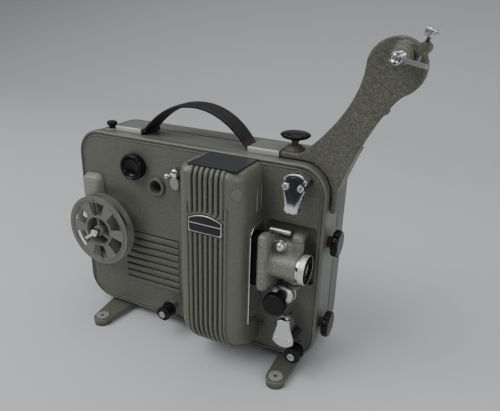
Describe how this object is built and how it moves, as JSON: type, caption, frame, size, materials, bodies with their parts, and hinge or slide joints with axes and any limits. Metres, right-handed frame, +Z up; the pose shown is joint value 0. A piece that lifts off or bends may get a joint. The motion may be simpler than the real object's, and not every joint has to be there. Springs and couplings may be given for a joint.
{
  "type": "film projector",
  "caption": "Upright suitcase film projector: grey case, ribbed lamp house, swing-out lens carrier, sprockets with shoes, small take-up reel, raised feed arm and folding legs.",
  "frame": {"origin": "on the floor plane under the middle of the case's front panel", "axes": "+X along the light beam out of the lens, +Y from the operating panel into the case, +Z up"},
  "size_m": [0.3451, 0.1212, 0.3259],
  "materials": {
    "paint": "satin hammertone enamel",
    "hammertone": "mottled hammertone enamel",
    "band_grey": "smooth semi-gloss enamel",
    "chrome": "polished",
    "steel": "turned",
    "bakelite": "moulded, worn gloss",
    "slate": "satin enamel",
    "leather": "smooth, worn brown at one end",
    "rubber": "matte",
    "glass": "clear, coated",
    "reel_grey": "satin",
    "black_metal": "satin black",
    "iron": "varnished laminations"
  },
  "bodies": {
    "case": {"front_frame": "paint", "mechanism_plate": "paint", "case_band": "band_grey", "rear_cover": "paint", "cover_screws": "steel", "left_handle_block": "chrome", "right_handle_block": "chrome", "carrying_strap": "leather", "lamp_house_cover": "hammertone", "lamp_house_top": "slate", "badge_plate": "black_metal", "lamp_bulb": "glass", "lamp_socket": "steel", "lamp_reflector": "chrome", "condenser_lens": "glass", "aperture_plate": "chrome", "carrier_hinge_pins": "steel", "inching_collar": "chrome", "roller_axles": "chrome", "panel_socket": "hammertone", "take_up_housing": "hammertone", "rear_feet": "rubber", "mains_inlet": "bakelite", "motor_body": "steel", "transformer": "iron", "leg_pivots": "steel", "drive_belt": "rubber"},
    "lens_carrier": {"lens_carrier": "hammertone", "pressure_plate": "steel", "carrier_knob": "chrome", "carrier_rod": "chrome"},
    "lens": {"lens_barrel": "black_metal", "lens_glasses": "glass"},
    "focus_ring": {"focus_ring": "chrome"},
    "upper_sprocket": {"upper_sprocket": "steel"},
    "lower_sprocket": {"lower_sprocket": "steel"},
    "upper_shoe": {"upper_shoe": "chrome"},
    "lower_shoe": {"lower_shoe": "chrome"},
    "inching_knob": {"inching_knob": "bakelite"},
    "shutter": {"shutter_disc": "black_metal"},
    "motor_rotor": {"motor_rotor": "steel"},
    "left_roller": {"left_roller": "bakelite"},
    "right_roller": {"right_roller": "bakelite"},
    "switch_knob": {"switch_knob": "bakelite"},
    "lamp_lever": {"lamp_lever": "chrome"},
    "take_up": {"take_up_spindle": "chrome", "take_up_reel": "reel_grey"},
    "take_up_latch": {"take_up_latch": "chrome"},
    "feed_arm": {"feed_arm": "hammertone"},
    "feed_spindle": {"feed_spindle": "chrome"},
    "feed_latch": {"feed_latch": "chrome"},
    "brake_screw": {"brake_screw": "chrome"},
    "star_knob": {"star_knob": "bakelite"},
    "upper_side_knob": {"upper_side_knob": "bakelite"},
    "lower_side_knob": {"lower_side_knob": "bakelite"},
    "top_button": {"top_button": "bakelite"},
    "left_leg": {"left_leg": "hammertone", "left_foot": "rubber"},
    "right_leg": {"right_leg": "hammertone", "right_foot": "rubber"}
  },
  "joints": [
    {"name": "lens_carrier_swing", "type": "hinge", "parent": "case", "child": "lens_carrier", "pos_m": [0.116, -0.009, 0.119], "axis": [0, 0, 1], "range_deg": [0, 25]},
    {"name": "focus_slide", "type": "slide", "parent": "lens_carrier", "child": "lens", "axis": [1, 0, 0], "range_m": [0, 0.0015]},
    {"name": "focus_turn", "type": "hinge", "parent": "lens", "child": "focus_ring", "pos_m": [0.126, -0.016, 0.119], "axis": [1, 0, 0], "range_deg": [0, 271]},
    {"name": "motor_spin", "type": "hinge", "parent": "case", "child": "motor_rotor", "pos_m": [0, 0.044, 0.061], "axis": [1, 0, 0], "continuous": true},
    {"name": "shutter_spin", "type": "hinge", "parent": "case", "child": "shutter", "pos_m": [0.072, 0.016, 0.119], "axis": [1, 0, 0], "continuous": true},
    {"name": "inching_turn", "type": "hinge", "parent": "case", "child": "inching_knob", "pos_m": [0.1034, 0, 0.082], "axis": [0, -1, 0], "continuous": true},
    {"name": "upper_sprocket_spin", "type": "hinge", "parent": "case", "child": "upper_sprocket", "pos_m": [0.1123, 0, 0.179], "axis": [0, -1, 0], "continuous": true},
    {"name": "lower_sprocket_spin", "type": "hinge", "parent": "case", "child": "lower_sprocket", "pos_m": [0.1123, 0, 0.059], "axis": [0, -1, 0], "continuous": true},
    {"name": "upper_shoe_swing", "type": "hinge", "parent": "case", "child": "upper_shoe", "pos_m": [0.1191, 0, 0.194], "axis": [0, -1, 0], "range_deg": [0, 25]},
    {"name": "lower_shoe_swing", "type": "hinge", "parent": "case", "child": "lower_shoe", "pos_m": [0.1191, 0, 0.044], "axis": [0, 1, 0], "range_deg": [0, 25]},
    {"name": "left_roller_spin", "type": "hinge", "parent": "case", "child": "left_roller", "pos_m": [-0.0218, 0, 0.029], "axis": [0, -1, 0], "continuous": true},
    {"name": "right_roller_spin", "type": "hinge", "parent": "case", "child": "right_roller", "pos_m": [0.1219, 0, 0.029], "axis": [0, -1, 0], "continuous": true},
    {"name": "switch_turn", "type": "hinge", "parent": "case", "child": "switch_knob", "pos_m": [-0.0638, 0, 0.178], "axis": [0, -1, 0], "range_deg": [-60, 60]},
    {"name": "lamp_lever_swing", "type": "hinge", "parent": "case", "child": "lamp_lever", "pos_m": [-0.0146, 0, 0.1795], "axis": [0, -1, 0], "range_deg": [-25, 25]},
    {"name": "take_up_spin", "type": "hinge", "parent": "case", "child": "take_up", "pos_m": [-0.1005, 0, 0.1065], "axis": [0, -1, 0], "continuous": true},
    {"name": "take_up_latch_fold", "type": "hinge", "parent": "take_up", "child": "take_up_latch", "pos_m": [-0.1005, -0.0252, 0.1065], "axis": [-0.5736, 0, 0.8192], "range_deg": [0, 90]},
    {"name": "feed_arm_lift", "type": "slide", "parent": "case", "child": "feed_arm", "axis": [0, 0, 1], "range_m": [0, 0.048]},
    {"name": "feed_spin", "type": "hinge", "parent": "feed_arm", "child": "feed_spindle", "pos_m": [0.182, 0, 0.3015], "axis": [0, -1, 0], "continuous": true},
    {"name": "feed_latch_fold", "type": "hinge", "parent": "feed_spindle", "child": "feed_latch", "pos_m": [0.182, -0.0252, 0.3015], "axis": [-0.2079, 0, -0.9781], "range_deg": [0, 90]},
    {"name": "brake_screw_turn", "type": "hinge", "parent": "feed_arm", "child": "brake_screw", "pos_m": [0.194, 0.0014, 0.3035], "axis": [0.342, 0, 0.9397], "continuous": true},
    {"name": "star_knob_turn", "type": "hinge", "parent": "feed_arm", "child": "star_knob", "pos_m": [0.0964, 0.0211, 0.208], "axis": [0, 0, 1], "continuous": true},
    {"name": "speed_knob_turn", "type": "hinge", "parent": "case", "child": "upper_side_knob", "pos_m": [0.136, 0.02, 0.133], "axis": [1, 0, 0], "range_deg": [-135, 135]},
    {"name": "framing_knob_turn", "type": "hinge", "parent": "case", "child": "lower_side_knob", "pos_m": [0.136, 0.0147, 0.0495], "axis": [1, 0, 0], "range_deg": [-45, 45]},
    {"name": "top_button_press", "type": "slide", "parent": "case", "child": "top_button", "axis": [0, 0, -1], "range_m": [0, 0.002], "stiffness_N_per_m": 300},
    {"name": "left_leg_fold", "type": "hinge", "parent": "case", "child": "left_leg", "pos_m": [-0.0965, 0.018, 0.008], "axis": [0, 0, 1], "range_deg": [0, 90]},
    {"name": "right_leg_fold", "type": "hinge", "parent": "case", "child": "right_leg", "pos_m": [0.111, 0.018, 0.008], "axis": [0, 0, 1], "range_deg": [-90, 0]}
  ],
  "couplings": [
    {"joint": "focus_turn", "follows": "focus_slide", "rad_per_m": 3141.6},
    {"joint": "shutter_spin", "follows": "motor_spin", "ratio": 0.8},
    {"joint": "inching_turn", "follows": "motor_spin", "ratio": 0.8},
    {"joint": "upper_sprocket_spin", "follows": "motor_spin", "ratio": 0.066667},
    {"joint": "lower_sprocket_spin", "follows": "motor_spin", "ratio": 0.066667}
  ]
}
